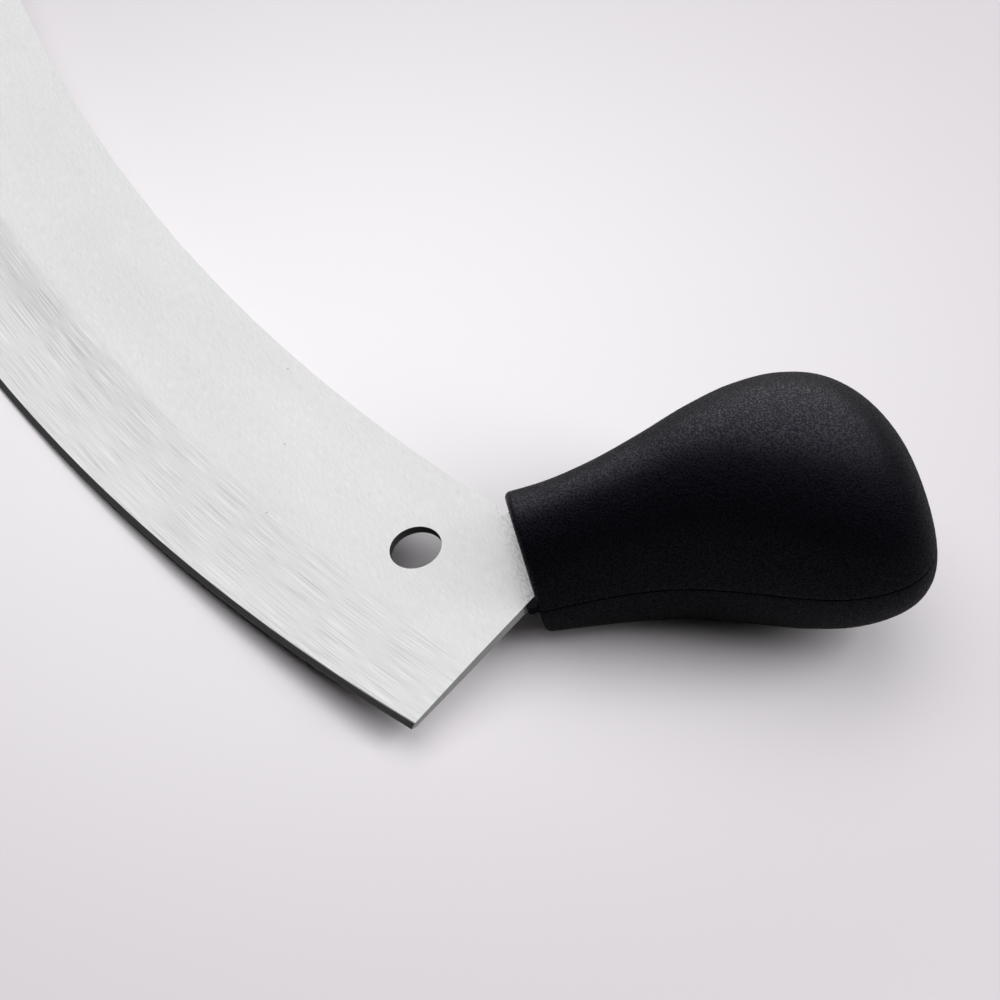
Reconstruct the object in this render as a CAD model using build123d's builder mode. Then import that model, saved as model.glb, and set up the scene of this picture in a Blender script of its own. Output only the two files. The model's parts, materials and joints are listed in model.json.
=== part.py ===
from build123d import *

import os
from math import asin, cos, degrees, radians, sin

# A two-handled mincing knife: a crescent blade that rocks on its curved edge, with a bulb handle at each end.
# It is drawn with the blade flat in the XY plane, the middle of its thickness at Z = 0 and the centre of its
# curved edges at the origin, then laid down as it rests on a table. Lengths are in millimetres, angles in degrees.

# Blade
edge_radius = 471.5
blade_width = 46.8
blade_thickness = 1.8
edge_length = 299.5
edge_thickness = 0.15

# Grinding: a long slope that is widest at the middle of the edge and runs out towards the ends, then a narrow bevel
grind_radius = 548.0
grind_width = 21.0
bevel_width = 1.0
bevel_thickness = 1.0
overrun = 4.0

# Hole for the hook that the knife hangs on
hang_hole_diameter = 10.0
hang_hole_from_edge = 30.7
hang_hole_from_end = 26.9

# Tang, the narrow end of the blade that a handle grips
mouth_width = 20.6
root_depth = 2.5
tang_width = 11.0
tang_length = 40.0
tang_corner = 3.0
lock_hole_diameter = 5.0
first_lock_hole = 15.0
lock_hole_spacing = 16.0
lock_holes = 2

# Handle, outside
handle_flare = 18.2
handle_length = 73.5
handle_lean = 13.3
neck_width = 24.7
mouth_thickness = 29.0
bulb_width = 50.2
bulb_thickness = 48.2
mouth_rounding = 1.2

# Handle, inside
wall = 3.0
front_wall = 4.0
joint_gap = 0.25
tongue_height = 1.2
first_rib = 33.0
rib_spacing = 12.0
ribs = 2
rib_thickness = 2.2
fit_clearance = 0.1

# Core, moulded round the tang
core_width = 17.8
core_thickness = 21.0
core_length = 46.0
core_rounding = 3.0
lug_reach = 2.0
lug_width = 2.6
lug_rounding = 0.8
lip_margin = 0.6
nub_reach = 0.3

half_turn = 180

# Places that follow from these sizes
edge_half_angle = degrees(edge_length / 2 / edge_radius)
spine_radius = edge_radius - blade_width
hang_hole_radius = edge_radius - hang_hole_from_edge
hang_hole_angle = edge_half_angle - degrees(hang_hole_from_end / hang_hole_radius)
spine_end_angle = edge_half_angle - degrees(
    asin(mouth_width * cos(radians(edge_half_angle + handle_flare)) / spine_radius)
)

# The handle's mouth: this plane looks along the handle, and its X runs across the blade towards the cutting edge
across = Vector(cos(radians(handle_flare)), -sin(radians(handle_flare)))
along = Vector(sin(radians(handle_flare)), cos(radians(handle_flare)))
spine_end = Vector(sin(radians(spine_end_angle)), -cos(radians(spine_end_angle))) * spine_radius
mouth = Plane(origin=spine_end + across * mouth_width / 2, x_dir=across, z_dir=along)

# The same mouth seen flat in the blade: X runs across the handle, Y along it
mouth_flat = Plane(origin=mouth.origin, x_dir=across, z_dir=(0, 0, 1))
down_handle = Axis(mouth.origin, along)

# Shares of the handle's length and lean, and how far its width and thickness have grown from mouth to bulb
swell_shares = [
    (0.00, 0.09, 0.02, 0.00),
    (0.10, 0.16, 0.00, 0.16),
    (0.22, 0.20, 0.06, 0.36),
    (0.36, 0.22, 0.26, 0.59),
    (0.50, 0.29, 0.57, 0.87),
    (0.63, 0.41, 0.86, 1.00),
]
# Past the bulb's widest and thickest places it closes as a blunt dome: shares of length and lean
dome_shares = [(0.75, 0.55), (0.85, 0.69), (0.93, 0.86), (0.98, 0.98), (1.00, 1.00)]
widest_share = 0.75
thickest_share = 0.63
tip_share = 0.20
dome_power = 2.55
# The bulb is hollow between these shares of the handle's length, round a line that leans by this share
hollow_shares = (0.36, 0.93)
hollow_lean_share = 0.49

neck_lean = swell_shares[1][1] * handle_lean


def dome(share, start_share):
    """Size of the blunt end at a share of the handle's length, as a share of the bulb's full size."""
    reach = max(share - start_share, 0) / (1 - start_share)
    return max((1 - reach**dome_power) ** (1 / dome_power), tip_share)


def handle_sections():
    """Share of the length, sideways lean, width and thickness of the handle's sections, from mouth to tip."""
    sections = []
    for share, lean_share, width_share, thickness_share in swell_shares:
        width = neck_width + width_share * (bulb_width - neck_width)
        thickness = mouth_thickness + thickness_share * (bulb_thickness - mouth_thickness)
        sections.append((share, lean_share * handle_lean, width, thickness))
    for share, lean_share in dome_shares:
        width = bulb_width * dome(share, widest_share)
        thickness = bulb_thickness * dome(share, thickest_share)
        sections.append((share, lean_share * handle_lean, width, thickness))
    return sections


def bulb_sections(inset=0.0, start=0.0):
    """Sketch the handle's sections, drawn in all round by inset and begun at start past the mouth."""
    sections = []
    for share, lean, width, thickness in handle_sections():
        across_radius = width / 2 - inset
        upright_radius = thickness / 2 - inset
        with BuildSketch(mouth.offset(start + share * (handle_length - start - inset))) as section:
            with BuildLine():
                EllipticalCenterArc((lean, 0), across_radius, upright_radius, 0, arc_size=half_turn)
                EllipticalCenterArc((lean, 0), across_radius, upright_radius, half_turn, arc_size=half_turn)
            make_face()
        sections.append(section.sketch)
    return sections


def core_section(clearance=0.0):
    """Sketch the section of the core's plain bar, or of the space for it with a clearance."""
    with BuildSketch(mouth.offset(front_wall)) as section:
        with Locations((neck_lean, 0)):
            RectangleRounded(core_width + 2 * clearance, core_thickness + 2 * clearance, core_rounding + clearance)
    return section.sketch


def lip_outline(clearance=0.0):
    """Sketch the lip that fills the mouth beside the tang, seen flat in the blade, or its slot with a clearance."""
    spine_side = -mouth_width / 2 - lip_margin - clearance
    edge_side = mouth_width / 2 + lug_width + clearance
    with BuildSketch(mouth_flat) as outline:
        with BuildLine():
            Polyline(
                (spine_side, front_wall),
                (spine_side, -nub_reach),
                (0, -nub_reach),
                (0, -lug_reach),
                (edge_side, -lug_reach),
                (edge_side, front_wall),
                close=True,
            )
        make_face()
        lug_corner = outline.vertices().group_by(Axis.Y)[0].sort_by(Axis.X)[-1]
        fillet(lug_corner, lug_rounding)
    return outline.sketch


# Blade: a quarter of a flat crescent is turned about the centre of its curve, ground, and mirrored twice
radial_section = Plane(origin=(0, 0, 0), x_dir=(0, -1, 0), z_dir=(-1, 0, 0))
grind_axis = Axis((0, grind_radius - (edge_radius - grind_width), 0), (0, 0, 1))


def wedge(start_radius, high, low, width):
    """Sketch what grinding takes off: above a slope that falls from high at start_radius to low over width."""
    fall = (high - low) / width
    before = start_radius - overrun
    beyond = start_radius + width + overrun
    with BuildSketch(radial_section) as section:
        with BuildLine():
            Polyline(
                (before, high + overrun * fall),
                (beyond, low - overrun * fall),
                (beyond, high + overrun),
                close=True,
            )
        make_face()
    return section.sketch


long_slope = wedge(edge_radius - grind_width, blade_thickness / 2, bevel_thickness / 2, grind_width - bevel_width)
edge_bevel = wedge(edge_radius - bevel_width, bevel_thickness / 2, edge_thickness / 2, bevel_width)

with BuildPart() as blade:
    with BuildSketch(radial_section):
        with Locations((spine_radius, 0)):
            Rectangle(blade_width, blade_thickness / 2, align=Align.MIN)
    revolve(axis=Axis.Z, revolution_arc=edge_half_angle)
    revolve(long_slope, axis=grind_axis, revolution_arc=edge_half_angle, mode=Mode.SUBTRACT)
    revolve(edge_bevel, axis=Axis.Z, revolution_arc=edge_half_angle, mode=Mode.SUBTRACT)
    mirror(about=Plane.XY)
    split(bisect_by=mouth.offset(root_depth), keep=Keep.BOTTOM)
    with BuildSketch(mouth_flat) as tang:
        with Locations((neck_lean, 0)):
            Rectangle(tang_width, tang_length, align=(Align.CENTER, Align.MIN))
        fillet(tang.vertices().sort_by(Axis.Y)[-2:], tang_corner)
        with Locations((neck_lean, first_lock_hole + lock_hole_spacing * (lock_holes - 1) / 2)):
            with GridLocations(0, lock_hole_spacing, 1, lock_holes):
                Circle(lock_hole_diameter / 2, mode=Mode.SUBTRACT)
    extrude(amount=blade_thickness / 2, both=True)
    mirror(about=Plane.YZ)
    with PolarLocations(hang_hole_radius, 1, start_angle=hang_hole_angle - 90):
        Hole(hang_hole_diameter / 2)

# Core: a bar moulded round the tang and through its lock holes, with the lip that closes the handle's mouth
with BuildPart() as right_core:
    extrude(core_section(), amount=core_length)
    extrude(lip_outline(), amount=blade_thickness / 2, both=True)
    add(blade.part, mode=Mode.SUBTRACT)

# Forms that both half shells share: the whole handle, its hollow, and the hollow with the ribs left standing
with BuildPart() as outside:
    loft(bulb_sections())
    chamfer(outside.faces().sort_by(down_handle)[0].edges(), mouth_rounding)

# Hollow of the bulb: a few cones turned about one straight line, as wide as they can be inside the wall
hollow_lean = hollow_lean_share * handle_lean
hollow_axis = Axis(mouth.from_local_coords((hollow_lean, 0)), along)

with BuildPart() as hollow:
    with BuildSketch(mouth_flat):
        with BuildLine():
            rim = []
            for share, lean, width, thickness in handle_sections():
                if hollow_shares[0] <= share <= hollow_shares[1]:
                    room = min(width / 2 - abs(lean - hollow_lean), thickness / 2) - wall
                    rim.append((hollow_lean + room, share * handle_length))
            Polyline((hollow_lean, rim[0][1]), *rim, (hollow_lean, rim[-1][1]), close=True)
        make_face()
    revolve(axis=hollow_axis)

with BuildPart() as ribbed_hollow:
    add(hollow.part)
    for rib in range(ribs):
        with BuildSketch(mouth.offset(first_rib + rib * rib_spacing)):
            Rectangle(2 * bulb_width, 2 * bulb_thickness)
        extrude(amount=rib_thickness, mode=Mode.SUBTRACT)

with BuildPart() as inner_space:
    add(ribbed_hollow.part)
    extrude(core_section(fit_clearance), amount=core_length + fit_clearance)
    extrude(lip_outline(fit_clearance), amount=blade_thickness / 2 + fit_clearance, both=True)

# Tongue: the inner half of the upper shell's wall, which drops into a step of the lower shell all round the joint
with BuildPart() as tongue:
    loft(bulb_sections(inset=wall / 2, start=front_wall))
    add(hollow.part, mode=Mode.SUBTRACT)
    split(bisect_by=Plane.XY.offset(tongue_height), keep=Keep.BOTTOM)
    split(bisect_by=Plane.XY.offset(-tongue_height), keep=Keep.TOP)

with BuildPart() as tongue_step:
    loft(bulb_sections(inset=wall / 2 - fit_clearance, start=front_wall))
    split(bisect_by=Plane.XY.offset(-tongue_height), keep=Keep.TOP)

with BuildPart() as right_upper_shell:
    add(outside.part)
    split(bisect_by=Plane.XY.offset(joint_gap / 2), keep=Keep.TOP)
    add(tongue.part)
    add(inner_space.part, mode=Mode.SUBTRACT)

with BuildPart() as right_lower_shell:
    add(outside.part)
    split(bisect_by=Plane.XY.offset(-joint_gap / 2), keep=Keep.BOTTOM)
    add(tongue_step.part, mode=Mode.SUBTRACT)
    add(inner_space.part, mode=Mode.SUBTRACT)

# The left-hand handle mirrors the right-hand one
with BuildPart() as left_core:
    mirror(right_core.part, about=Plane.YZ)

with BuildPart() as left_upper_shell:
    mirror(right_upper_shell.part, about=Plane.YZ)

with BuildPart() as left_lower_shell:
    mirror(right_lower_shell.part, about=Plane.YZ)

pieces = {
    "blade": blade,
    "right_core": right_core,
    "right_upper_shell": right_upper_shell,
    "right_lower_shell": right_lower_shell,
    "left_core": left_core,
    "left_upper_shell": left_upper_shell,
    "left_lower_shell": left_lower_shell,
}


def lowest(piece, tilt):
    """Height of the lowest point of a piece when the knife is turned about X."""
    return piece.part.rotate(Axis.X, tilt).bounding_box().min.Z


# At rest the knife lies on both bulbs and on the middle of its cutting edge, so its tilt is halved down to that
flat_tilt, steep_tilt = 0.0, 45.0
for step in range(24):
    rest_tilt = (flat_tilt + steep_tilt) / 2
    if lowest(blade, rest_tilt) > lowest(right_lower_shell, rest_tilt):
        flat_tilt = rest_tilt
    else:
        steep_tilt = rest_tilt

# The origin is under the middle of the resting knife, +X towards the handle beside the hang hole
tilted = Compound([piece.part.rotate(Axis.X, rest_tilt) for piece in pieces.values()]).bounding_box()
at_rest = Location((0, -(tilted.min.Y + tilted.max.Y) / 2, -tilted.min.Z), (rest_tilt, 0, 0))

os.makedirs("parts", exist_ok=True)
for name, piece in pieces.items():
    piece.part.label = name
    piece.part.move(at_rest)
    export_step(piece.part, f"parts/{name}.step")

hole_centre = at_rest * Location(
    (hang_hole_radius * sin(radians(hang_hole_angle)), -hang_hole_radius * cos(radians(hang_hole_angle)), 0)
)
print("tilt at rest", round(rest_tilt, 3), "origin shift", at_rest.position)
print("hang hole centre", hole_centre.position)
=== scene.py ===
# %% [markdown]
# # A two-handled mincing knife
# The knife is a crescent of ground steel that rocks on its curved edge, held at each end in a black bulb handle.
# The blade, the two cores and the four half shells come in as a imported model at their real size. This lesson gives
# them their surfaces: brushed and ground steel, and plastic with the fine grain of a spark-eroded mould.

import json
from math import asin, atan2, cos, degrees, pi, radians, sin, sqrt

import bmesh
import bpy
from mathutils import Matrix, Vector


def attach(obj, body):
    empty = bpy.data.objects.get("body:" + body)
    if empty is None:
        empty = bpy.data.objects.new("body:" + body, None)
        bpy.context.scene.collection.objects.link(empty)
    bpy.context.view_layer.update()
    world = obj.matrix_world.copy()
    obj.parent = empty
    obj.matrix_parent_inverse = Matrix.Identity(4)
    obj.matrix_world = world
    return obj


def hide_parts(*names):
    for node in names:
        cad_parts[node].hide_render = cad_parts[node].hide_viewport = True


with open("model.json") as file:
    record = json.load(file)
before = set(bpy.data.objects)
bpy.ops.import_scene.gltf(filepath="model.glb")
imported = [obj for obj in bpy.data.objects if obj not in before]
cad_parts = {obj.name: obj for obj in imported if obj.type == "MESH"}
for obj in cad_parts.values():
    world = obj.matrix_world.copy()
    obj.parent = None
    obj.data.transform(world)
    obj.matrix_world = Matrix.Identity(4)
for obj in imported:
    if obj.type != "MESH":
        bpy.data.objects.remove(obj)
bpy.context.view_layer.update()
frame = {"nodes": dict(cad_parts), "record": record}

MM = 0.001
MILLILITRE = 1e-6

# %% [markdown]
# Everything on the knife is easiest to describe with the blade flat, the centre of its curves at the origin and the
# cutting edge towards -Y. On the table the knife leans forward, because the bulbs are thicker than the blade. The
# hang hole's axis tells by how much, and its place tells where that flat drawing has to go.

# %% The flat drawing's place on the table
EDGE_RADIUS = 471.5 * MM
EDGE_LENGTH = 299.5 * MM
BLADE_WIDTH = 46.8 * MM
BLADE_THICKNESS = 1.8 * MM
HANG_HOLE_RADIUS = 440.8 * MM

hang_hole = frame["record"]["mounts"][0]
tilt = atan2(-hang_hole["axis"][1], hang_hole["axis"][2])
lean_forward = Matrix.Rotation(tilt, 4, "X")
hole_place = Vector(hang_hole["pos_m"])
hole_when_flat = Vector((hole_place.x, -sqrt(HANG_HOLE_RADIUS**2 - hole_place.x**2), 0))
flat_to_table = Matrix.Translation(hole_place - lean_forward @ hole_when_flat) @ lean_forward
print("the blade leans by", round(degrees(tilt), 2), "degrees")

# %% [markdown]
# ## Camera
# The picture is taken from above the right-hand handle, with a long lens, so that lines hardly converge. A camera is
# easiest to place by the point on the table that it looks at, its direction and its distance.

# %% Camera
AIM = Vector((97.80, 7.16, 0.0)) * MM
CAMERA_AZIMUTH = radians(59.696)
CAMERA_ELEVATION = radians(43.307)
CAMERA_ROLL = radians(0.263)
CAMERA_DISTANCE = 808.6 * MM
LENS = 151.2
SENSOR = 36.0

camera_data = bpy.data.cameras.new("camera")
camera_data.lens = LENS
camera_data.sensor_width = SENSOR
camera_data.clip_start = 0.01
camera_data.clip_end = 20.0
camera = bpy.data.objects.new("camera", camera_data)
bpy.context.scene.collection.objects.link(camera)
turn = Matrix.Rotation(CAMERA_AZIMUTH, 4, "Z") @ Matrix.Rotation(pi / 2 - CAMERA_ELEVATION, 4, "X")
turn = turn @ Matrix.Rotation(CAMERA_ROLL, 4, "Z")
camera.matrix_world = Matrix.Translation(AIM) @ turn @ Matrix.Translation((0, 0, CAMERA_DISTANCE))
bpy.context.scene.camera = camera
bpy.context.scene.view_settings.view_transform = "Standard"
print("camera at", camera.matrix_world.translation)

# %% [markdown]
# ## Node helpers
# Materials are built from nodes in code. A few small helpers keep that readable: one adds a node with its settings
# and inputs, and the others add the sums, measures, blends and soft steps that come up again and again. Two more
# start an empty node group with named sockets, so that an effect is drawn once and placed in any material, and a
# material with its shader.

# %% Node helpers
def add_node(tree, kind, place=(0, 0), values=None, **settings):
    """Add a node, set its properties, and set or link the inputs that values names."""
    node = tree.nodes.new(kind)
    node.location = place
    for name, value in settings.items():
        setattr(node, name, value)
    for name, value in (values or {}).items():
        if isinstance(value, bpy.types.NodeSocket):
            tree.links.new(value, node.inputs[name])
        else:
            node.inputs[name].default_value = value
    return node


def math_node(tree, operation, first, second=0.0, place=(0, 0), clamp=False):
    """One sum of two numbers, each a socket or a plain value; returns the output socket."""
    return add_node(
        tree, "ShaderNodeMath", place, {0: first, 1: second}, operation=operation, use_clamp=clamp
    ).outputs[0]


def vector_node(tree, operation, first, second, place=(0, 0)):
    """One sum of two vectors that gives a vector; returns the output socket."""
    return add_node(
        tree, "ShaderNodeVectorMath", place, {0: first, 1: second}, operation=operation
    ).outputs["Vector"]


def measure_node(tree, operation, first, second=(0, 0, 0), place=(0, 0)):
    """One measure of two vectors that gives a number, such as their distance; returns the output socket."""
    return add_node(
        tree, "ShaderNodeVectorMath", place, {0: first, 1: second}, operation=operation
    ).outputs["Value"]


def mix(tree, share, first, second, place=(0, 0)):
    """Blend two numbers by a share from 0 to 1; returns the output socket."""
    return add_node(
        tree, "ShaderNodeMix", place, {0: share, 2: first, 3: second}, data_type="FLOAT"
    ).outputs[0]


def mix_colours(tree, share, first, second, place=(0, 0)):
    """Blend two colours by a share from 0 to 1; returns the output socket."""
    return add_node(
        tree, "ShaderNodeMix", place, {0: share, 6: first, 7: second}, data_type="RGBA"
    ).outputs[2]


def between(tree, value, low, high, place=(0, 0)):
    """A soft step from 0 at low to 1 at high; returns the output socket."""
    return add_node(
        tree, "ShaderNodeMapRange", place, {"Value": value, "From Min": low, "From Max": high},
        interpolation_type="SMOOTHSTEP",
    ).outputs["Result"]


# %% Helpers that start a group and a material
def new_group(name, inputs, outputs):
    """An empty node group with named sockets, given as name: default value."""
    tree = bpy.data.node_groups.new(name, "ShaderNodeTree")
    for direction, sockets in (("INPUT", inputs), ("OUTPUT", outputs)):
        for socket_name, default in sockets.items():
            kind = "NodeSocketFloat" if isinstance(default, float) else "NodeSocketVector"
            socket = tree.interface.new_socket(socket_name, in_out=direction, socket_type=kind)
            socket.default_value = default
    start = add_node(tree, "NodeGroupInput", (-1000, 0))
    end = add_node(tree, "NodeGroupOutput", (600, 0))
    return tree, start.outputs, end.inputs


def new_material(name):
    """A material with an empty Principled shader; returns the material, its node tree and the shader."""
    material = bpy.data.materials.new(name)
    material.use_nodes = True
    tree = material.node_tree
    tree.nodes.clear()
    shader = add_node(tree, "ShaderNodeBsdfPrincipled", (900, 0))
    output = add_node(tree, "ShaderNodeOutputMaterial", (1200, 0))
    tree.links.new(shader.outputs["BSDF"], output.inputs["Surface"])
    return material, tree, shader


# %% [markdown]
# ## Table and light
# The knife lies on a seamless pale table. Two things are set apart here that are one in a real studio. Two large
# lamps, one overhead and one at the right, light the table and cast the soft shadows, but nothing mirrors them. The
# room is what the steel and the plastic mirror, and it lights nothing. It is a colour ramp over the direction of
# view: its bright side makes the ground steel pale, for bright steel is only as bright as what it mirrors, and its
# dark side draws the bevel as a dark line and leaves the near side of the handles black. For the same reason the
# table looks dim to mirrored rays.

# %% Table
TABLE_SIZE = 6.0

table_mesh = bmesh.new()
bmesh.ops.create_grid(table_mesh, x_segments=1, y_segments=1, size=TABLE_SIZE / 2)
table_data = bpy.data.meshes.new("table")
table_mesh.to_mesh(table_data)
table_mesh.free()
table = bpy.data.objects.new("table", table_data)
bpy.context.scene.collection.objects.link(table)
print("a table", TABLE_SIZE, "metres square")

# %% The table's paint, with a painted pool of light
TABLE_COLOUR = (0.845, 0.82, 0.845, 1)
TABLE_PAINTED_FALLOFF_COLOUR = (0.635, 0.606, 0.632, 1)
TABLE_PAINTED_LIGHT_CENTRE = (0.035, 0.0, 0)
TABLE_PAINTED_LIGHT_FADE = 0.20
TABLE_MIRRORED = 0.15
TABLE_ROUGHNESS = 0.7
TABLE_SHINE = 0.1

table_paint, tree, shader = new_material("table")
place = add_node(tree, "ShaderNodeTexCoord", (-600, 0)).outputs["Object"]
# The table is painted paler round one spot and darker away from it: a painted pool of light.
away = measure_node(tree, "DISTANCE", place, TABLE_PAINTED_LIGHT_CENTRE, (-400, 0))
painted_falloff = between(tree, away, 0.0, TABLE_PAINTED_LIGHT_FADE, (-200, 0))
paint = mix_colours(tree, painted_falloff, TABLE_COLOUR, TABLE_PAINTED_FALLOFF_COLOUR, (0, 0))
dimmed = add_node(
    tree, "ShaderNodeVectorMath", (200, -100), {0: paint, "Scale": TABLE_MIRRORED}, operation="SCALE"
).outputs["Vector"]
is_mirrored = add_node(tree, "ShaderNodeLightPath", (200, -300)).outputs["Is Glossy Ray"]
paint = mix_colours(tree, is_mirrored, paint, dimmed, (400, 0))
tree.links.new(paint, shader.inputs["Base Color"])
shader.inputs["Roughness"].default_value = TABLE_ROUGHNESS
shader.inputs["Specular IOR Level"].default_value = TABLE_SHINE
table_data.materials.append(table_paint)
print("its paint has", len(tree.nodes), "nodes")

# %% Room that is mirrored
ROOM_BRIGHT = (1.0, 1.0, 1.0, 1)
ROOM_DARK = (0.006, 0.006, 0.007, 1)
ROOM_STRENGTH = 1.45
BRIGHT_SIDE = Vector((-0.62, 0.33, 0.71)).normalized()
DARK_UNTIL = 0.60
BRIGHT_FROM = 0.94

world = bpy.data.worlds.new("room")
world.use_nodes = True
bpy.context.scene.world = world
world.cycles_visibility.diffuse = False
tree = world.node_tree
tree.nodes.clear()
direction = add_node(tree, "ShaderNodeTexCoord", (-900, 0)).outputs["Generated"]
towards_light = measure_node(tree, "DOT_PRODUCT", direction, BRIGHT_SIDE, (-600, 0))
ramp = add_node(tree, "ShaderNodeValToRGB", (-300, 0), {"Fac": towards_light})
ramp.color_ramp.interpolation = "EASE"
ramp.color_ramp.elements[0].position = DARK_UNTIL
ramp.color_ramp.elements[0].color = ROOM_DARK
ramp.color_ramp.elements[1].position = BRIGHT_FROM
ramp.color_ramp.elements[1].color = ROOM_BRIGHT
background = add_node(
    tree, "ShaderNodeBackground", (0, 0), {"Color": ramp.outputs["Color"], "Strength": ROOM_STRENGTH}
)
room = add_node(tree, "ShaderNodeOutputWorld", (300, 0))
tree.links.new(background.outputs["Background"], room.inputs["Surface"])
print("the room's bright side faces", [round(part, 2) for part in BRIGHT_SIDE])

# %% Lamps that light
LAMPS = {
    "overhead_light": {"place": (0.08, 0.22, 1.7), "size": 2.5, "power": 31.4},
    "side_light": {"place": (1.78, 1.79, 1.7), "size": 1.9, "power": 83.5},
}


def soft_box(name, place, size, power):
    """A square lamp at place that points at the middle of the picture and isn't mirrored."""
    data = bpy.data.lights.new(name, "AREA")
    data.shape = "SQUARE"
    data.size = size
    data.energy = power
    lamp = bpy.data.objects.new(name, data)
    lamp.location = place
    lamp.rotation_euler = (AIM - Vector(place)).to_track_quat("-Z", "Y").to_euler()
    lamp.visible_glossy = False
    bpy.context.scene.collection.objects.link(lamp)


for name, settings in LAMPS.items():
    soft_box(name, **settings)
    print(name, settings)

# %% [markdown]
# ## Handles
# Each handle is a blunt bulb on a narrow neck, moulded as two half shells that meet in the plane of the blade. The
# packed shells are made of flat facets, which a black satin surface would show, so smooth ones take their place. A
# body like this is lofted: one ellipse is extruded again and again along the handle, and each ring gets its own size.

# %% The handle's own frame: X across the blade, Y along the handle, Z up from the blade's face
MOUTH_WIDTH = 20.6 * MM
HANDLE_FLARE = radians(18.2)

spine_radius = EDGE_RADIUS - BLADE_WIDTH
edge_half_angle = EDGE_LENGTH / 2 / EDGE_RADIUS
spine_end_angle = edge_half_angle - asin(MOUTH_WIDTH * cos(edge_half_angle + HANDLE_FLARE) / spine_radius)
spine_end = Vector((sin(spine_end_angle), -cos(spine_end_angle), 0)) * spine_radius
across = Vector((cos(HANDLE_FLARE), -sin(HANDLE_FLARE), 0))
mouth_middle = spine_end + across * MOUTH_WIDTH / 2
handle_to_flat = Matrix.Translation(mouth_middle) @ Matrix.Rotation(-HANDLE_FLARE, 4, "Z")
print("the right mouth's middle on the table:", flat_to_table @ mouth_middle)

# %% [markdown]
# Three curves say how the handle leans and swells. Each is a list of points: a share of the handle's length, then a
# share of the full growth. Width and thickness stop growing at their last point, where the dome takes over; the lean
# goes on to the tip.

# %% How the handle leans and swells
HANDLE_LENGTH = 73.5 * MM
HANDLE_LEAN = 13.3 * MM
NECK_WIDTH = 24.7 * MM
MOUTH_THICKNESS = 29.0 * MM
BULB_WIDTH = 50.2 * MM
BULB_THICKNESS = 48.2 * MM
WIDEST_SHARE = 0.75
THICKEST_SHARE = 0.63
DOME_POWER = 2.55

LEAN = [
    (0, 0.09), (0.1, 0.16), (0.22, 0.2), (0.36, 0.22), (0.5, 0.29), (0.63, 0.41), (0.75, 0.55), (0.85, 0.69),
    (0.93, 0.86), (0.98, 0.98), (1, 1),
]
WIDTH = [(0, 0.02), (0.1, 0), (0.22, 0.06), (0.36, 0.26), (0.5, 0.57), (0.63, 0.86), (WIDEST_SHARE, 1)]
THICKNESS = [(0, 0), (0.1, 0.16), (0.22, 0.36), (0.36, 0.59), (0.5, 0.87), (THICKEST_SHARE, 1)]


def slope(points, index, level_end):
    """Slope of a smooth curve at one of its points, from its neighbours; a level end doesn't grow any more."""
    last = len(points) - 1
    if index == last and level_end:
        return 0.0
    if index in (0, last):
        near = points[1] if index == 0 else points[-2]
        return (near[1] - points[index][1]) / (near[0] - points[index][0])
    (before, low), (here, value), (after, high) = points[index - 1:index + 2]
    back, ahead = (value - low) / (here - before), (high - value) / (after - here)
    return (back * (after - here) + ahead * (here - before)) / (after - before)


def smooth(points, share, level_end=True):
    """Value at a share of the length, on a smooth curve through the points."""
    index = max(i for i, point in enumerate(points[:-1]) if share >= point[0])
    (start, low), (end, high) = points[index], points[index + 1]
    step = end - start
    t = (share - start) / step
    slopes = slope(points, index, level_end) * (1 - t) - slope(points, index + 1, level_end) * t
    return low * (1 + 2 * t) * (1 - t) ** 2 + high * t**2 * (3 - 2 * t) + step * t * (1 - t) * slopes


def dome(share, start):
    """The blunt end's size at a share of the length, as a share of the full size."""
    reach = (share - start) / (1 - start)
    return (1 - reach**DOME_POWER) ** (1 / DOME_POWER)


def section(share):
    """Lean, width and thickness of the handle at a share of its length."""
    if share < WIDEST_SHARE:
        width = NECK_WIDTH + smooth(WIDTH, share) * (BULB_WIDTH - NECK_WIDTH)
    else:
        width = BULB_WIDTH * dome(share, WIDEST_SHARE)
    if share < THICKEST_SHARE:
        thickness = MOUTH_THICKNESS + smooth(THICKNESS, share) * (BULB_THICKNESS - MOUTH_THICKNESS)
    else:
        thickness = BULB_THICKNESS * dome(share, THICKEST_SHARE)
    return smooth(LEAN, share, level_end=False) * HANDLE_LEAN, width, thickness


print("widest section, in millimetres:", [round(value / MM, 2) for value in section(WIDEST_SHARE)])

# %% [markdown]
# The rings stand close together where the dome turns over, so their shares follow a sine there. The last ring shrinks
# to a point. Drawn in by an inset, the same body later gives the tongue that keys one half shell into the other.

# %% Where the rings stand
SWELL_RINGS = 44
DOME_RINGS = 22
LAST_RING = 0.9995

ring_shares = [WIDEST_SHARE * i / SWELL_RINGS for i in range(SWELL_RINGS)]
ring_shares += [
    WIDEST_SHARE + (LAST_RING - WIDEST_SHARE) * sin(pi / 2 * i / DOME_RINGS) for i in range(DOME_RINGS + 1)
]
print(len(ring_shares), "rings, the last one at", ring_shares[-1])

# %% Loft one body through its rings
RING_SIDES = 112
SMALLEST_RADIUS = 0.1 * MM
MOUTH_ROUNDING = 1.2 * MM


def round_edges(body, edges, rounding, segments):
    """Round some edges of a body."""
    bmesh.ops.bevel(
        body, geom=edges, offset=rounding, segments=segments, profile=0.5, affect="EDGES", material=-1
    )


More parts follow.
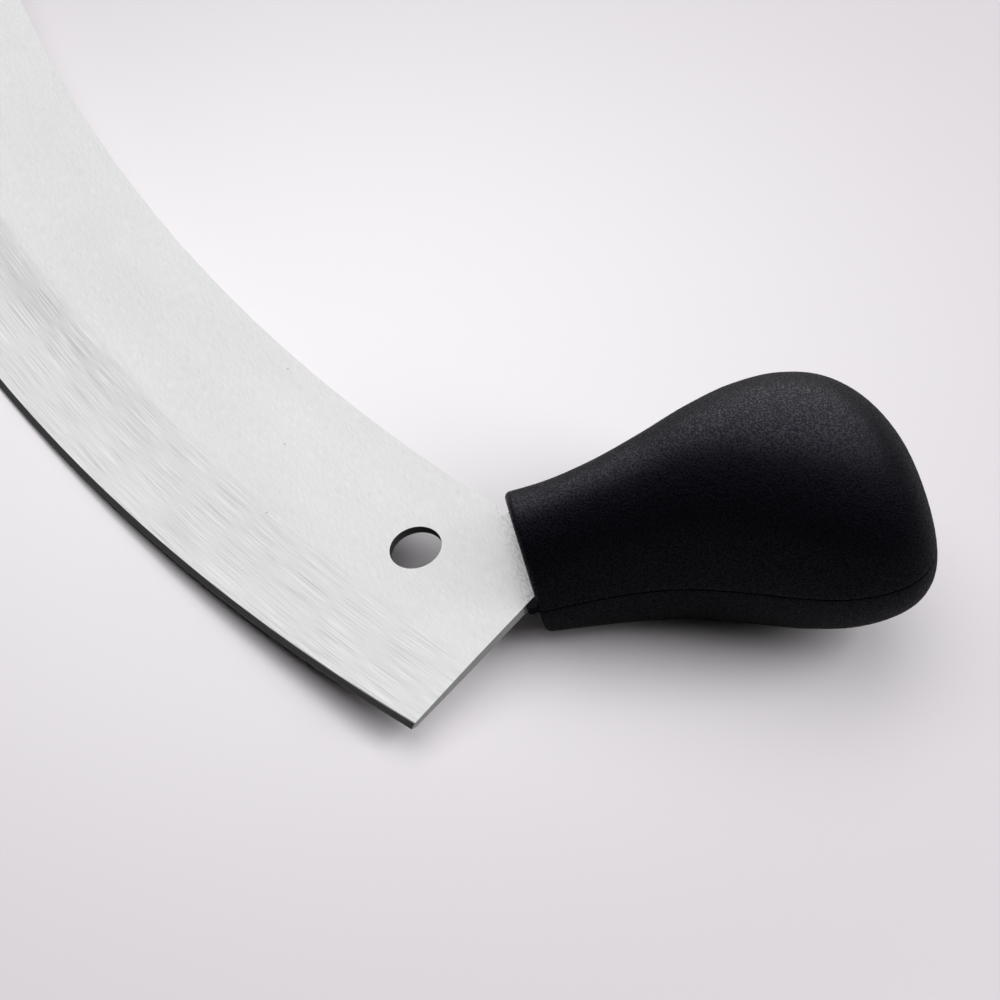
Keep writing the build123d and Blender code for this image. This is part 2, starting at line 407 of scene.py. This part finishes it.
def handle_body(inset=0.0, start=0.0):
    """A closed body through the handle's rings, drawn in all round by inset and begun at start past the mouth."""
    body = bmesh.new()
    ring = bmesh.ops.create_circle(body, cap_ends=True, segments=RING_SIDES, radius=1.0)["verts"]
    bmesh.ops.rotate(body, verts=ring, matrix=Matrix.Rotation(pi / 2, 3, "X"))
    mouth_face = body.faces[:][0]
    rim = mouth_face.edges[:]
    mouth_rim = rim
    place = Vector((0, 0, 0))
    size = Vector((1, 1, 1))
    for share in ring_shares:
        lean, width, thickness = section(share)
        new_size = Vector((max(width / 2 - inset, SMALLEST_RADIUS), 1, max(thickness / 2 - inset, SMALLEST_RADIUS)))
        new_place = Vector((lean, start + share * (HANDLE_LENGTH - start - inset), 0))
        if share > 0:
            extruded = bmesh.ops.extrude_edge_only(body, edges=rim)["geom"]
            ring = [item for item in extruded if isinstance(item, bmesh.types.BMVert)]
            ring_set = set(ring)
            edges = [item for item in extruded if isinstance(item, bmesh.types.BMEdge)]
            rim = [edge for edge in edges if set(edge.verts) <= ring_set]
        scale = Vector((new_size.x / size.x, 1, new_size.z / size.z))
        bmesh.ops.scale(body, verts=ring, vec=scale, space=Matrix.Translation(-place))
        bmesh.ops.translate(body, verts=ring, vec=new_place - place)
        place, size = new_place, new_size
    bmesh.ops.pointmerge(body, verts=ring, merge_co=place)
    if inset == 0:
        round_edges(body, mouth_rim, MOUTH_ROUNDING, segments=5)
    bmesh.ops.recalc_face_normals(body, faces=body.faces[:])
    return body


body = handle_body()
print("one handle:", len(body.verts), "points,", round(body.calc_volume() / MILLILITRE, 1), "millilitres")
body.free()

# %% [markdown]
# A plane parts a body. One helper drops what lies behind the plane and gives back the edges of the cut, and another
# closes a level cut with a face, for the joint between the halves.

# %% Helpers that cut a body
CUT_TOLERANCE = 1e-9


def cut_away(body, place, normal):
    """Cut a body at a plane, drop what lies behind the plane, and return the edges of the cut."""
    cut = bmesh.ops.bisect_plane(
        body, geom=body.verts[:] + body.edges[:] + body.faces[:], dist=CUT_TOLERANCE,
        plane_co=place, plane_no=normal, clear_inner=True,
    )["geom_cut"]
    return [item for item in cut if isinstance(item, bmesh.types.BMEdge)]


def keep_side(body, height, side):
    """Cut a body level at a height, keep what is above (side 1) or below it (side -1), and close the cut."""
    edges = cut_away(body, (0, 0, height), (0, 0, side))
    cap = bmesh.ops.edgeloop_fill(body, edges=edges)["faces"]
    bmesh.ops.recalc_face_normals(body, faces=body.faces[:])
    return cap


# %% [markdown]
# Inside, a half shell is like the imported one: a turned hollow with two ribs left standing, a space for the core, and
# a slot in the mouth for the blade and the core's lip. They are cut out with Boolean modifiers, which take one closed
# body from another. The tongue round the joint is joined on first, so that the hollow trims it as well.

# %% Where the hollow and its ribs stand
FIRST_RIB = 33.0 * MM
RIB_SPACING = 12.0 * MM
RIB_THICKNESS = 2.2 * MM
HOLLOW_SHARES = (0.36, 0.5, 0.63, 0.75, 0.85, 0.93)

hollow_start, hollow_end = HOLLOW_SHARES[0] * HANDLE_LENGTH, HOLLOW_SHARES[-1] * HANDLE_LENGTH
rib_starts = [FIRST_RIB, FIRST_RIB + RIB_SPACING]
chamber_starts = [hollow_start] + [rib + RIB_THICKNESS for rib in rib_starts]
chamber_ends = rib_starts + [hollow_end]
print("the hollow runs from", round(hollow_start / MM, 1), "to", round(hollow_end / MM, 1), "millimetres in")

# %% Helpers that make a piece and a chamber of the hollow
WALL = 3.0 * MM
HOLLOW_LEAN = 0.49 * HANDLE_LEAN
HOLLOW_SIDES = 64
MERGE_DISTANCE = MM / 1000


def new_piece(name, body, place=Matrix.Identity(4)):
    """Make an object from a bmesh, put it in its place and free the bmesh."""
    body.transform(place)
    data = bpy.data.meshes.new(name)
    body.to_mesh(data)
    body.free()
    piece = bpy.data.objects.new(name, data)
    bpy.context.scene.collection.objects.link(piece)
    return piece


def chamber(start, end):
    """One chamber of the hollow: cones turned about the hollow's line, cut at the ribs that bound it."""
    body = bmesh.new()
    profile = []
    for share in HOLLOW_SHARES:
        lean, width, thickness = section(share)
        room = min(width / 2 - abs(lean - HOLLOW_LEAN), thickness / 2) - WALL
        profile.append(body.verts.new((HOLLOW_LEAN + room, share * HANDLE_LENGTH, 0)))
    ends = [body.verts.new((HOLLOW_LEAN, vert.co.y, 0)) for vert in (profile[0], profile[-1])]
    line = [ends[0], *profile, ends[1]]
    edges = [body.edges.new(pair) for pair in zip(line, line[1:])]
    bmesh.ops.spin(
        body, geom=line + edges, cent=(HOLLOW_LEAN, 0, 0), axis=(0, 1, 0), angle=2 * pi, steps=HOLLOW_SIDES,
        use_merge=True,
    )
    bmesh.ops.remove_doubles(body, verts=body.verts[:], dist=MERGE_DISTANCE)
    for cut_at, side in ((start, 1), (end, -1)):
        if hollow_start < cut_at < hollow_end:
            rim = cut_away(body, (0, cut_at, 0), (0, side, 0))
            bmesh.ops.edgeloop_fill(body, edges=[edge for edge in rim if edge.is_boundary])
    bmesh.ops.recalc_face_normals(body, faces=body.faces[:])
    return body


# %% Helpers that make a block with rounded edges
NEARLY_ALONG = 0.9


def runs_along_handle(edge):
    """Whether an edge of a block runs along the handle."""
    return abs((edge.verts[0].co - edge.verts[1].co).normalized().y) > NEARLY_ALONG


def block(low, high, rounding=0.0):
    """A block between two corners; a rounding takes the edges that run along the handle."""
    body = bmesh.new()
    low, high = Vector(low), Vector(high)
    bmesh.ops.create_cube(body, size=1.0)
    bmesh.ops.scale(body, verts=body.verts[:], vec=high - low)
    bmesh.ops.translate(body, verts=body.verts[:], vec=(low + high) / 2)
    if rounding:
        round_edges(body, [edge for edge in body.edges if runs_along_handle(edge)], rounding, segments=4)
    return body


# %% Tools that cut the inside
FRONT_WALL = 4.0 * MM
CORE_WIDTH = 17.8 * MM
CORE_THICKNESS = 21.0 * MM
CORE_LENGTH = 46.0 * MM
CORE_ROUNDING = 3.0 * MM
NECK_LEAN = 0.16 * HANDLE_LEAN
CLEARANCE = 0.1 * MM
LIP_SPINE_SIDE = 10.9 * MM
LIP_EDGE_SIDE = 12.9 * MM

half_core = CORE_WIDTH / 2 + CLEARANCE
core_height = CORE_THICKNESS / 2 + CLEARANCE
slot_height = BLADE_THICKNESS / 2 + CLEARANCE
cutters = [new_piece("chamber", chamber(start, end)) for start, end in zip(chamber_starts, chamber_ends)]
cutters.append(new_piece("core_space", block(
    (NECK_LEAN - half_core, FRONT_WALL, -core_height),
    (NECK_LEAN + half_core, FRONT_WALL + CORE_LENGTH + CLEARANCE, core_height),
    CORE_ROUNDING + CLEARANCE,
)))
cutters.append(new_piece("mouth_slot", block(
    (-LIP_SPINE_SIDE - CLEARANCE, -FRONT_WALL, -slot_height),
    (LIP_EDGE_SIDE + CLEARANCE, FRONT_WALL + MM, slot_height),
)))
print("tools for the inside:", [piece.name for piece in cutters])

# %% [markdown]
# The joint is a hairline a quarter of a millimetre wide. On the real handle its two rims aren't knife-sharp, so each
# gets a tiny rounding, and the line then has the soft dark look of a moulded joint.

# %% Helpers that make a half shell
JOINT_GAP = 0.25 * MM
JOINT_ROUNDING = 0.12 * MM
TONGUE_HEIGHT = 1.2 * MM


def combine(piece, tool, operation):
    """Join a tool to a piece, or take it away, and keep the result as the piece's mesh."""
    modifier = piece.modifiers.new(operation.lower(), "BOOLEAN")
    modifier.operation = operation
    modifier.solver = "EXACT"
    modifier.object = tool
    view = bpy.context.evaluated_depsgraph_get()
    result = bpy.data.meshes.new_from_object(piece.evaluated_get(view))
    piece.modifiers.clear()
    piece.data = result


def tongue(inset):
    """The band that lies across the joint inside the wall, drawn in by inset."""
    body = handle_body(inset, FRONT_WALL)
    keep_side(body, TONGUE_HEIGHT, -1)
    keep_side(body, -TONGUE_HEIGHT, 1)
    return new_piece("tongue", body)


def half_shell(name, side):
    """The right-hand handle's half above (side 1) or below (side -1) the joint, with its inside cut out."""
    body = handle_body()
    cap = keep_side(body, side * JOINT_GAP / 2, side)
    round_edges(body, cap[0].edges[:], JOINT_ROUNDING, segments=2)
    piece = new_piece(name, body)
    key = tongue(WALL / 2 if side > 0 else WALL / 2 - CLEARANCE)
    combine(piece, key, "UNION" if side > 0 else "DIFFERENCE")
    bpy.data.objects.remove(key)
    for tool in cutters:
        combine(piece, tool, "DIFFERENCE")
    print(name, len(piece.data.polygons), "faces")
    return piece


# %% Cut the half shells
right_upper = half_shell("right_upper_half", 1)
right_lower = half_shell("right_lower_half", -1)
for tool in cutters:
    bpy.data.objects.remove(tool)

# %% [markdown]
# The left-hand handle is the same body, mirrored. Each finished shell takes the place of its packed one, and rides on
# the same body of the frame.

# %% Place the right-hand shells and mirror the left-hand ones
SHARP_ANGLE = radians(35)


def place_shell(source, name, node, mirrored):
    """A finished shell from a half in the handle's own frame, for either end of the knife."""
    body = bmesh.new()
    body.from_mesh(source.data)
    bmesh.ops.transform(body, matrix=handle_to_flat, verts=body.verts[:])
    if mirrored:
        bmesh.ops.scale(body, verts=body.verts[:], vec=(-1, 1, 1))
        bmesh.ops.reverse_faces(body, faces=body.faces[:])
    for face in body.faces:
        face.smooth = True
    shell = new_piece(name, body, flat_to_table)
    shell.data.set_sharp_from_angle(angle=SHARP_ANGLE)
    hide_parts(node)
    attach(shell, "root")
    return shell


shells = [
    place_shell(right_upper, "right_upper_handle", "right_upper_shell", False),
    place_shell(right_lower, "right_lower_handle", "right_lower_shell", False),
    place_shell(right_upper, "left_upper_handle", "left_upper_shell", True),
    place_shell(right_lower, "left_lower_handle", "left_lower_shell", True),
]
for source in (right_upper, right_lower):
    bpy.data.objects.remove(source)
for shell in shells:
    points = [vertex.co for vertex in shell.data.vertices]
    print(
        shell.name, "from", [round(min(point[k] for point in points), 4) for k in range(3)],
        "to", [round(max(point[k] for point in points), 4) for k in range(3)],
    )

# %% [markdown]
# ## Steel
# Grinding leaves thousands of fine parallel lines. One stretched noise gives them: its cells are long along the lines
# and narrow across. The group takes any coordinates, so the same lines can run straight over the flat of the blade
# and in long arcs over the ground slope.

# %% Group: ground lines
lines_group, given, out = new_group(
    "ground lines",
    {"Vector": (0.0, 0.0, 0.0), "Length": 0.02, "Width": 0.0002, "Seed": 0.0, "Strength": 1.0},
    {"Lines": 0.0},
)
tree = lines_group
per_length = math_node(tree, "DIVIDE", 1.0, given["Length"], (-800, 100))
per_width = math_node(tree, "DIVIDE", 1.0, given["Width"], (-800, -100))
stretch = add_node(
    tree, "ShaderNodeCombineXYZ", (-600, 0), {"X": per_length, "Y": per_width, "Z": 0.0}
).outputs["Vector"]
stretched = vector_node(tree, "MULTIPLY", given["Vector"], stretch, (-400, 0))
lifted = add_node(tree, "ShaderNodeCombineXYZ", (-400, -200), {"Z": given["Seed"]}).outputs["Vector"]
moved = vector_node(tree, "ADD", stretched, lifted, (-200, 0))
noise = add_node(
    tree, "ShaderNodeTexNoise", (0, 0), {"Vector": moved, "Scale": 1.0, "Detail": 2.0, "Roughness": 0.6}
).outputs["Fac"]
centred = math_node(tree, "SUBTRACT", noise, 0.5, (200, 0))
tree.links.new(math_node(tree, "MULTIPLY", centred, given["Strength"], (400, 0)), out["Lines"])
print("group:", lines_group.name, "with", len(tree.nodes), "nodes")


# %% Helper that places the ground lines
def lines(tree, vector, kind, place=(0, 0)):
    """Ground lines of one kind: its length, width, strength and seed; returns the output socket."""
    length, width, strength, seed = kind
    values = {"Vector": vector, "Length": length, "Width": width, "Strength": strength, "Seed": seed}
    return add_node(tree, "ShaderNodeGroup", place, values, node_tree=lines_group).outputs["Lines"]


# %% [markdown]
# The blade's face has two grinds. The flat was belt-ground before the curve was cut, so its lines run straight and
# slightly askew. The slope was ground afterwards on a swinging arm, about a centre far behind the handles, so its
# lines are long arcs. Both are drawn in coordinates of the flat blade: skewed ones for the flat, and for the slope
# the way along the arc and the distance from its centre.

# %% Coordinates on the flat
FLAT_LINES_SKEW = radians(7)

steel, tree, steel_shader = new_material("ground steel")
on_piece = add_node(tree, "ShaderNodeTexCoord", (-3000, 0)).outputs
flat = add_node(
    tree, "ShaderNodeMapping", (-2800, 0),
    {"Vector": on_piece["Object"], "Location": flat_to_table.inverted().translation, "Rotation": (-tilt, 0, 0)},
).outputs["Vector"]
skewed = add_node(
    tree, "ShaderNodeMapping", (-2500, 300), {"Vector": flat, "Rotation": (0, 0, FLAT_LINES_SKEW)}
).outputs["Vector"]

# %% Coordinates on the ground slope
GRIND_RADIUS = 548.0 * MM
GRIND_WIDTH = 21.0 * MM
LEVEL = (1, 1, 0)

grind_centre = (0, GRIND_RADIUS - (EDGE_RADIUS - GRIND_WIDTH), 0)
print("the grinding arm swings about", grind_centre)
from_centre = vector_node(tree, "SUBTRACT", flat, grind_centre, (-2500, -200))
apart = add_node(tree, "ShaderNodeSeparateXYZ", (-2300, -200), {"Vector": from_centre}).outputs
towards_edge = math_node(tree, "MULTIPLY", apart["Y"], -1.0, (-2300, -350))
swing = math_node(tree, "ARCTAN2", apart["X"], towards_edge, (-2100, -200))
along_arc = math_node(tree, "MULTIPLY", swing, GRIND_RADIUS, (-1900, -200))


def level_length(tree, vector, place):
    """The length of a vector's part in the blade's plane; returns the output socket."""
    level = vector_node(tree, "MULTIPLY", vector, LEVEL, place)
    return measure_node(tree, "LENGTH", level, place=(place[0] + 200, place[1]))


from_grind_centre = level_length(tree, from_centre, (-2300, -500))
from_edge_centre = level_length(tree, flat, (-2300, -700))
arcs = add_node(
    tree, "ShaderNodeCombineXYZ", (-1700, -300), {"X": along_arc, "Y": from_grind_centre}
).outputs["Vector"]

# %% [markdown]
# Fine lines carry the look from near by, broad ones and a slow cloud carry it from a step away. Each kind of line is
# a length, a width, a strength and a seed. Masks then say which part of the blade is which: the ground slope, the
# bevel along the edge, and the sides that were cut or punched.

# %% Ground lines on the blade
FLAT_FINE = (2.2 * MM, 0.12 * MM, 0.8, 0.0)
FLAT_BROAD = (9 * MM, 0.8 * MM, 0.15, 4.0)
ARC_FINE = (14 * MM, 0.09 * MM, 2.6, 7.0)
ARC_BROAD = (60 * MM, 0.5 * MM, 0.25, 9.0)
CLOUD = (60 * MM, 16 * MM, 0.3, 2.0)

flat_fine = lines(tree, skewed, FLAT_FINE, (-1500, 500))
flat_broad = lines(tree, skewed, FLAT_BROAD, (-1500, 300))
arc_fine = lines(tree, arcs, ARC_FINE, (-1500, 100))
arc_broad = lines(tree, arcs, ARC_BROAD, (-1500, -100))
cloud = lines(tree, arcs, CLOUD, (-1500, -300))
print("the finest lines are", round(ARC_FINE[1] / MM, 2), "millimetres wide")

# %% Masks of the blade's parts
SLOPE_BLEND = (-2.5 * MM, 3.5 * MM)
BEVEL_WIDTH = 1.0 * MM
BEVEL_BLEND = 0.05 * MM
SIDE_TURN = (0.6, 0.4)
HOLE_WALL = (5.5 * MM, 5.2 * MM)

slope_start, slope_full = (GRIND_RADIUS + blend for blend in SLOPE_BLEND)
print("the slope starts", round(slope_start / MM, 1), "millimetres from the arm's centre")
sloped = between(tree, from_grind_centre, slope_start, slope_full, (-1500, -700))
bevel_start = EDGE_RADIUS - BEVEL_WIDTH
bevelled = between(tree, from_edge_centre, bevel_start - BEVEL_BLEND, bevel_start + BEVEL_BLEND, (-1500, -500))
blade_up = flat_to_table.to_3x3() @ Vector((0, 0, 1))
turned = measure_node(tree, "DOT_PRODUCT", on_piece["Normal"], blade_up, (-2300, -900))
cut_side = between(tree, math_node(tree, "ABSOLUTE", turned, place=(-2100, -900)), *SIDE_TURN, (-1500, -900))
# The hang hole's wall is painted darkest: painted shade inside the hole.
from_hole = measure_node(tree, "DISTANCE", flat, hole_when_flat, (-1700, -1500))
by_hole = between(tree, from_hole, *HOLE_WALL, (-1500, -1500))
hole_wall_painted_shade = math_node(tree, "MULTIPLY", by_hole, cut_side, (-1200, -1500))

# %% [markdown]
# Small specks are where scale sat on the sheet, and a faint stain of short dashes runs along the handle's mouth.

# %% Specks and a stain on the steel
SPECKS = ((56.3, -423.6), (72.9, -433.5), (85.6, -444.5))
SPECK_RADIUS = 0.32 * MM
SPECK_SHADE = 0.4
STAIN_LINES = (1.3 * MM, 0.35 * MM, 1.0, 5.0)
STAIN_REACH = 3.6 * MM
STAIN_DASHES = (-0.05, 0.12)
STAIN_SHADE = 0.3

speckled = 0.0
for x, y in SPECKS:
    away = measure_node(tree, "DISTANCE", flat, (x * MM, y * MM, BLADE_THICKNESS / 2), (-1800, -1700))
    speck = between(tree, away, SPECK_RADIUS, SPECK_RADIUS / 3, (-1600, -1700))
    speckled = math_node(tree, "MAXIMUM", speckled, speck, (-1400, -1700))
from_mouth = vector_node(tree, "SUBTRACT", flat, mouth_middle, (-2000, -1100))
into_handle = measure_node(
    tree, "DOT_PRODUCT", from_mouth, handle_to_flat.to_3x3() @ Vector((0, 1, 0)), (-1800, -1100)
)
by_mouth = between(tree, into_handle, -STAIN_REACH, -STAIN_REACH / 4, (-1600, -1100))
dashes = between(tree, lines(tree, skewed, STAIN_LINES, (-1800, -1300)), *STAIN_DASHES, (-1600, -1300))
stained = math_node(tree, "MULTIPLY", by_mouth, dashes, (-1400, -1100))
print(len(SPECKS), "specks, and a stain that reaches", round(STAIN_REACH / MM, 1), "millimetres from the mouth")

# %% [markdown]
# The lines shift the steel between a dark and a pale tone. Towards the middle of the blade the slope's inner border
# is drawn darker. Ground steel isn't a mirror: its lines scatter part of the light, and
# so its faces are only partly metallic here, which also keeps them from turning black when they mirror the dark side
# of the room. The bevel is fully metallic, and so it mirrors that dark side as a dark line; its colour is also painted
# darker, a painted shade.

# %% Steel's tone
STEEL_TONE = (0.73, 0.73, 0.73, 1)
STEEL_DARK = (0.36, 0.36, 0.36, 1)
STEEL_PALE_SHARE = 0.78
DARK_BORDER_START = (-2 * MM, 3 * MM)
DARK_BORDER_STOP = (12 * MM, 4 * MM)
DARK_BORDER_END = 0.14
DARK_BORDER_AMOUNT = 0.25

fine = mix(tree, sloped, flat_fine, arc_fine, (-1200, 300))
broad = mix(tree, sloped, flat_broad, arc_broad, (-1200, 100))
# A band along the slope's inner border is drawn darker, most at the middle of the blade.
border_start = between(tree, from_grind_centre, *(GRIND_RADIUS + edge for edge in DARK_BORDER_START), (-1200, -100))
border_stop = between(tree, from_grind_centre, *(GRIND_RADIUS + edge for edge in DARK_BORDER_STOP), (-1200, -300))
border_band = math_node(tree, "MULTIPLY", border_start, border_stop, (-1000, -200))
swing_away = math_node(tree, "ABSOLUTE", swing, place=(-1200, -500))
border_middle = between(tree, swing_away, DARK_BORDER_END, 0.0, (-1000, -500))
dark_border = math_node(tree, "MULTIPLY", border_band, border_middle, (-800, -200))

tone = math_node(tree, "ADD", broad, cloud, (-1000, 200))
tone = math_node(tree, "ADD", fine, tone, (-800, 300))
border_darkening = math_node(tree, "MULTIPLY", dark_border, DARK_BORDER_AMOUNT, (-600, 0))
tone = math_node(tree, "SUBTRACT", tone, border_darkening, (-450, 200))
tone = math_node(tree, "ADD", STEEL_PALE_SHARE, tone, (-300, 200), clamp=True)
colour = mix_colours(tree, tone, STEEL_DARK, STEEL_TONE, (-100, 300))
print("the deep grind fades out", round(degrees(DARK_BORDER_END), 1), "degrees from the middle")

# %% Painted shade and marks on the steel
MARK_AND_SHADE_COLOUR = (0.07, 0.07, 0.07, 1)
# The bevel's colour is painted darker: a painted shade that draws it as a dark line.
BEVEL_PAINTED_SHADE = 0.52
# Faces turned away from the blade's face are drawn darker: partly the duller sheared steel, partly painted shade.
CUT_SIDE_PAINTED_SHADE = 0.6

shades = (
    math_node(tree, "MULTIPLY", speckled, SPECK_SHADE, (-1000, -1200)),
    math_node(tree, "MULTIPLY", stained, STAIN_SHADE, (-1000, -1000)),
    math_node(tree, "MULTIPLY", bevelled, BEVEL_PAINTED_SHADE, (-800, -600)),
    math_node(tree, "MULTIPLY", cut_side, CUT_SIDE_PAINTED_SHADE, (-800, -800)),
    hole_wall_painted_shade,
)
# Specks and the stain are real marks; the bevel, the cut sides and the hole's wall get painted shade in the same dark
# colour.
marks_and_shade = shades[0]
for number, shade in enumerate(shades[1:]):
    marks_and_shade = math_node(tree, "MAXIMUM", marks_and_shade, shade, (-600 + 150 * number, -900))
marked_and_shaded = mix_colours(tree, marks_and_shade, colour, MARK_AND_SHADE_COLOUR, (100, 300))
tree.links.new(marked_and_shaded, steel_shader.inputs["Base Color"])
print(len(shades), "kinds of darker places")

# %% Steel's roughness and relief
SATIN_METALLIC = 0.62
CUT_METALLIC = 0.4
LINE_HEIGHTS = (-0.3, 0.3)
LINE_ROUGHNESS = (0.40, 0.32)
RELIEF_STRENGTH = 0.35
RELIEF_DEPTH = 0.01 * MM

rough = add_node(
    tree, "ShaderNodeMapRange", (300, -100),
    {
        "Value": fine, "From Min": LINE_HEIGHTS[0], "From Max": LINE_HEIGHTS[1],
        "To Min": LINE_ROUGHNESS[0], "To Max": LINE_ROUGHNESS[1],
    },
).outputs["Result"]
tree.links.new(rough, steel_shader.inputs["Roughness"])
metallic = mix(tree, bevelled, SATIN_METALLIC, 1.0, (300, 0))
metallic = mix(tree, cut_side, metallic, CUT_METALLIC, (500, 0))
tree.links.new(metallic, steel_shader.inputs["Metallic"])
relief = add_node(
    tree, "ShaderNodeBump", (500, -300), {"Height": fine, "Strength": RELIEF_STRENGTH, "Distance": RELIEF_DEPTH}
).outputs["Normal"]
tree.links.new(relief, steel_shader.inputs["Normal"])
print(steel.name, "has", len(tree.nodes), "nodes")

# %% [markdown]
# ## Plastic
# The mould of the handles was spark-eroded, which leaves a fine pebbled skin that feels dry and hides fingerprints.
# The plastic is one black all through. Its pebbles show by their relief, and because their crests shine a little more
# than the pits between them. The cores come from a smoother mould.

# %% Group: mould grain
CREST_RANGE = (0.42, 0.60)

grain_group, given, out = new_group(
    "mould grain",
    {"Vector": (0.0, 0.0, 0.0), "Size": 0.0006},
    {"Height": 0.0},
)
tree = grain_group
per_size = math_node(tree, "DIVIDE", 1.0, given["Size"], (-750, -100))
scaled = add_node(
    tree, "ShaderNodeVectorMath", (-600, 0), {0: given["Vector"], "Scale": per_size}, operation="SCALE"
).outputs["Vector"]
pebbles = add_node(
    tree, "ShaderNodeTexNoise", (-200, 100), {"Vector": scaled, "Scale": 1.0, "Detail": 2.5, "Roughness": 0.55}
).outputs["Fac"]
crests = between(tree, pebbles, *CREST_RANGE, (0, 100))
tree.links.new(crests, out["Height"])
print("group:", grain_group.name, "with", len(tree.nodes), "nodes")

# %% Plastic of the handles and of the cores
PLASTIC_TINT = (0.62, 0.54, 1.0, 1)
PIT_ROUGHER = 0.08
CREST_SMOOTHER = 0.06


def moulded_plastic(name, colour, shine, crest_shine, roughness, grain_size, grain_depth):
    """A black plastic with the grain of its mould."""
    material, tree, shader = new_material(name)
    place = add_node(tree, "ShaderNodeTexCoord", (-900, 0)).outputs["Object"]
    grain = add_node(
        tree, "ShaderNodeGroup", (-600, 0), {"Vector": place, "Size": grain_size}, node_tree=grain_group
    ).outputs["Height"]
    shader.inputs["Base Color"].default_value = colour
    uneven = add_node(
        tree, "ShaderNodeMapRange", (-300, 100),
        {"Value": grain, "To Min": roughness + PIT_ROUGHER, "To Max": roughness - CREST_SMOOTHER},
    ).outputs["Result"]
    tree.links.new(uneven, shader.inputs["Roughness"])
    shader.inputs["Specular IOR Level"].default_value = shine
    shader.inputs["Specular Tint"].default_value = PLASTIC_TINT
    if crest_shine:
        coat = math_node(tree, "MULTIPLY", grain, crest_shine, (-300, 300))
        tree.links.new(coat, shader.inputs["Coat Weight"])
        shader.inputs["Coat Roughness"].default_value = roughness
    relief = add_node(
        tree, "ShaderNodeBump", (-300, -200), {"Height": grain, "Strength": 1.0, "Distance": grain_depth}
    ).outputs["Normal"]
    tree.links.new(relief, shader.inputs["Normal"])
    print(name, "has", len(tree.nodes), "nodes")
    return material


grained = moulded_plastic(
    "grained plastic", colour=(0.0013, 0.0012, 0.0015, 1), shine=0.30, crest_shine=0.62, roughness=0.35,
    grain_size=0.36 * MM, grain_depth=0.12 * MM,
)
smooth_black = moulded_plastic(
    "core plastic", colour=(0.003, 0.003, 0.003, 1), shine=0.12, crest_shine=0.0, roughness=0.40,
    grain_size=0.5 * MM, grain_depth=0.008 * MM,
)

# %% Give each piece its material
for shell in shells:
    shell.data.materials.append(grained)
    print(shell.name, "is", grained.name)
for name, material in (("blade", steel), ("right_core", smooth_black), ("left_core", smooth_black)):
    frame["nodes"][name].data.materials.clear()
    frame["nodes"][name].data.materials.append(material)
    print(name, "is", material.name)
